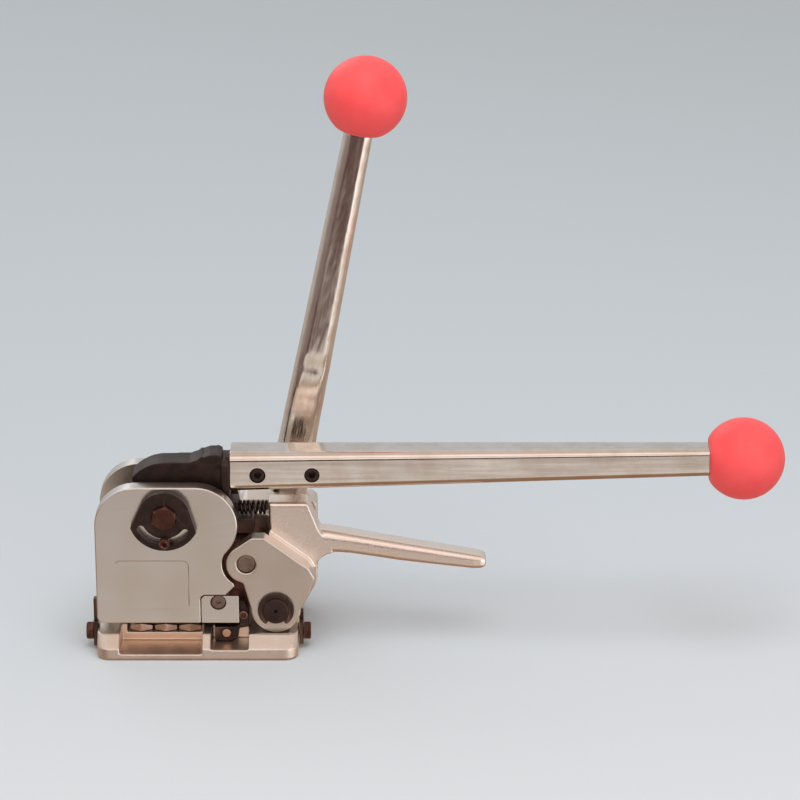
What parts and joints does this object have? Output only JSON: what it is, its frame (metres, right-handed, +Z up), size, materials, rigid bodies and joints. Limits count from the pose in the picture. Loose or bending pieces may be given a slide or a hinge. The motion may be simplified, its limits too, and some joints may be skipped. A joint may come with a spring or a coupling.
{
  "type": "strapping tensioner tool",
  "caption": "Manual steel-strapping tool: two ball-knob levers tension and seal the strap, a cast release lever lifts the feed wheel, on a flat base with an open strap slot.",
  "frame": {"origin": "on the underside of the base, below the mid-plane between the side plates, at the base's mid-length", "axes": "+X along the closed sealing lever, +Y towards the ratchet side, +Z up"},
  "size_m": [0.4255, 0.101, 0.3578],
  "materials": {
    "nickel_plate": "nickel plated, ground smooth, satin",
    "nickel_cast": "nickel plated casting, fine sand-blasted grain",
    "chrome_tube": "bright nickel plated drawn tube",
    "black_oxide": "black oxide, dark brown in the light",
    "brown_steel": "brown oxide, satin",
    "die_steel": "ground tool steel",
    "copper_pin": "bright turned steel",
    "spring_steel": "black spring wire",
    "red_plastic": "satin red phenolic ball"
  },
  "bodies": {
    "frame": {"base_plate": "nickel_cast", "front_side_plate": "nickel_plate", "rear_side_plate": "nickel_plate", "pivot_block": "nickel_cast", "rocker_pivot_pin": "brown_steel", "spring_seat": "black_oxide", "tie_pin_upper": "nickel_plate", "tie_pin_lower": "nickel_plate", "return_spring": "spring_steel", "carrier_spring_front": "spring_steel", "carrier_spring_rear": "spring_steel", "lower_die_left": "die_steel", "lower_die_middle": "die_steel", "lower_die_right": "die_steel", "feed_anvil": "die_steel", "strap_guide_left": "black_oxide", "strap_guide_right": "black_oxide", "strap_guide_bolt_left": "brown_steel", "strap_guide_bolt_right": "brown_steel", "cutter_block": "nickel_plate", "cutter_block_screw": "nickel_plate", "rear_plate_screw_left": "black_oxide", "rear_plate_screw_middle": "black_oxide", "rear_plate_screw_right": "black_oxide", "adjuster_clamp_screw": "brown_steel", "gripper_pivot_screw": "brown_steel"},
    "adjuster": {"eccentric_axle": "brown_steel", "adjuster_sector": "black_oxide", "axle_clip": "black_oxide"},
    "sealing_lever": {"lever_bracket": "black_oxide", "sealing_lever_tube": "chrome_tube", "sealing_screw_near": "black_oxide", "sealing_screw_far": "black_oxide", "sealing_knob": "red_plastic"},
    "punch_carrier": {"punch_carrier": "die_steel", "upper_die_left": "die_steel", "upper_die_middle": "die_steel", "upper_die_right": "die_steel", "cutter_blade": "black_oxide"},
    "rocker": {"rocker_casting": "nickel_cast", "holding_pawl_pin": "nickel_plate"},
    "feed_shaft": {"feed_shaft": "black_oxide", "feed_wheel": "die_steel", "ratchet_wheel": "die_steel", "shaft_clip_front": "black_oxide", "shaft_clip_rear": "black_oxide"},
    "tension_lever": {"tension_lever_head": "nickel_cast", "tension_lever_tube": "chrome_tube", "tension_screw_low": "black_oxide", "tension_screw_high": "black_oxide", "tension_knob": "red_plastic", "drive_pawl_pin": "nickel_plate"},
    "holding_pawl": {"holding_pawl": "die_steel"},
    "drive_pawl": {"drive_pawl": "die_steel"},
    "gripper": {"gripper_lever": "black_oxide", "gripper_jaw_pin": "copper_pin"}
  },
  "joints": [
    {"name": "sealing_lever_hinge", "type": "hinge", "parent": "frame", "child": "sealing_lever", "pos_m": [-0.0186, 0, 0.091], "axis": [0, -1, 0], "range_deg": [0, 85]},
    {"name": "punch_slide", "type": "slide", "parent": "frame", "child": "punch_carrier", "axis": [0, 0, 1], "range_m": [0, 0.0045], "deforming": ["carrier_spring_front", "carrier_spring_rear"]},
    {"name": "depth_adjuster", "type": "hinge", "parent": "frame", "child": "adjuster", "pos_m": [-0.0186, 0, 0.091], "axis": [0, -1, 0], "range_deg": [-50, 60]},
    {"name": "rocker_hinge", "type": "hinge", "parent": "frame", "child": "rocker", "pos_m": [0.0301, 0, 0.0581], "axis": [0, -1, 0], "range_deg": [0, 9], "stiffness_Nm_per_rad": 12, "springref_deg": -6.88, "deforming": ["return_spring"]},
    {"name": "feed_rotation", "type": "hinge", "parent": "rocker", "child": "feed_shaft", "pos_m": [0.0478, 0, 0.0286], "axis": [0, -1, 0], "continuous": true},
    {"name": "tension_lever_hinge", "type": "hinge", "parent": "rocker", "child": "tension_lever", "pos_m": [0.0478, 0, 0.0286], "axis": [0, -1, 0], "range_deg": [-30, 50]},
    {"name": "holding_pawl_hinge", "type": "hinge", "parent": "rocker", "child": "holding_pawl", "pos_m": [0.036, 0, 0.05], "axis": [0, 1, 0], "range_deg": [0, 14], "stiffness_Nm_per_rad": 0.05, "springref_deg": -28.65},
    {"name": "drive_pawl_hinge", "type": "hinge", "parent": "tension_lever", "child": "drive_pawl", "pos_m": [0.0598, 0, 0.0494], "axis": [0, 1, 0], "range_deg": [0, 14], "stiffness_Nm_per_rad": 0.05, "springref_deg": -28.65},
    {"name": "gripper_hinge", "type": "hinge", "parent": "frame", "child": "gripper", "pos_m": [0.0279, 0, 0.0245], "axis": [0, 1, 0], "range_deg": [0, 6], "stiffness_Nm_per_rad": 0.1, "springref_deg": -28.65}
  ],
  "couplings": [
    {"joint": "punch_slide", "follows": "sealing_lever_hinge", "m_per_rad": 0.003}
  ]
}
